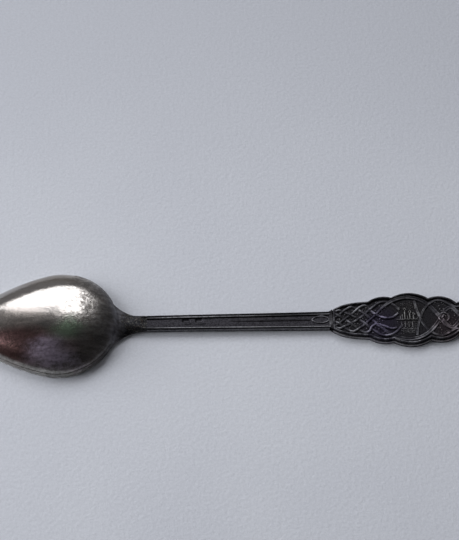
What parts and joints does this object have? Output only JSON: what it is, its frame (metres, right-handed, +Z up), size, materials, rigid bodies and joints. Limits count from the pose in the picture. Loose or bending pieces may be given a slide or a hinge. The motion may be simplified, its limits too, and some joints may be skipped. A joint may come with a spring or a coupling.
{
  "type": "souvenir spoon",
  "caption": "Souvenir teaspoon lying face down: pointed oval bowl, slim stem with raised rails, and a scalloped finial with knotwork and a small skyline medallion.",
  "frame": {"origin": "on the supporting surface, at the middle of the spoon's length and width", "axes": "+X along the handle from the bowl's tip towards the finial's point, +Z up from the surface the spoon lies on, face down, and +Y across the spoon, towards the top of the medallion's skyline"},
  "size_m": [0.14, 0.0304, 0.0076],
  "materials": {
    "bowl_metal": "nickel silver, a white copper-nickel-zinc alloy of brass's density; worn polish with brown, green and violet tarnish",
    "stem_metal": "nickel silver, darkened, with rubbed brighter edges",
    "relief_metal": "nickel silver relief, oxidised, rubbed brighter on its crests",
    "recess_metal": "nickel silver ground of the relief, oxidised nearly black"
  },
  "bodies": {
    "root": {"bowl": "bowl_metal", "neck": "bowl_metal", "stem_core": "recess_metal", "stem_back_rails": "stem_metal", "stem_back_ridge": "stem_metal", "stem_front_rails": "stem_metal", "almond_loop": "relief_metal", "collar": "relief_metal", "finial_plate": "recess_metal", "back_border": "relief_metal", "back_plait_lower": "relief_metal", "back_plait_upper": "relief_metal", "inner_lobe_ring": "relief_metal", "medallion_frame": "relief_metal", "medallion_scene": "relief_metal", "outer_lobe_ring": "relief_metal", "end_ring": "relief_metal", "front_border": "relief_metal", "front_cartouche": "relief_metal", "front_lobe_rings": "relief_metal", "front_plait": "relief_metal"}
  },
  "joints": []
}
